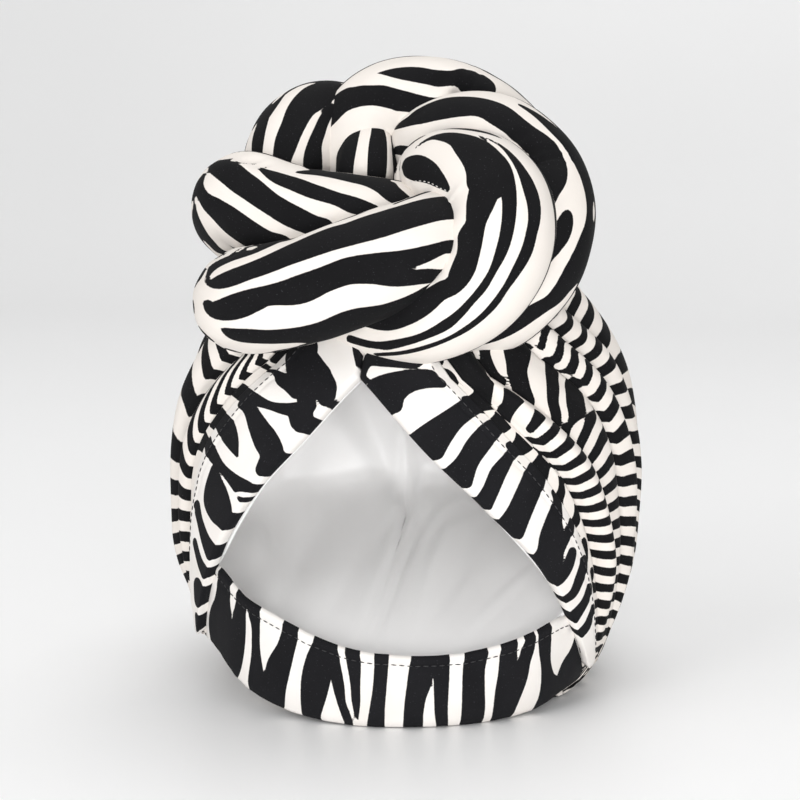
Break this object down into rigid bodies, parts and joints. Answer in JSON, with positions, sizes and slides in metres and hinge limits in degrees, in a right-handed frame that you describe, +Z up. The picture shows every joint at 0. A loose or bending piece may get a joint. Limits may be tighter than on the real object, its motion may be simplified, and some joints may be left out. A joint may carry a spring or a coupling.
{
  "type": "turban headwrap",
  "caption": "Pre-tied turban of striped cloth: a rounded pleated cap with a padded knot on its top front, folded hem bands round the face opening and a satin lining.",
  "frame": {"origin": "on the table, under the middle of the turban's box", "axes": "+Z up, from the table to the knot; -Y is the front, where the face opening is; +X is to the right as the front is seen"},
  "size_m": [0.212, 0.2136, 0.2804],
  "materials": {
    "zebra_roll": "brushed matte print cloth, warm white with black zebra stripes, stuffed",
    "zebra_wrap": "brushed matte print cloth, warm white with black zebra stripes, pleated",
    "zebra_hem": "matte print cloth, folded double and topstitched with dark thread",
    "satin_lining": "soft white satin with a low sheen"
  },
  "bodies": {
    "root": {"knot_roll": "zebra_roll", "wrap_panel_right": "zebra_wrap", "wrap_panel_left": "zebra_wrap", "front_band_right": "zebra_hem", "front_band_left": "zebra_hem", "nape_band": "zebra_hem", "lining": "satin_lining"}
  },
  "joints": []
}
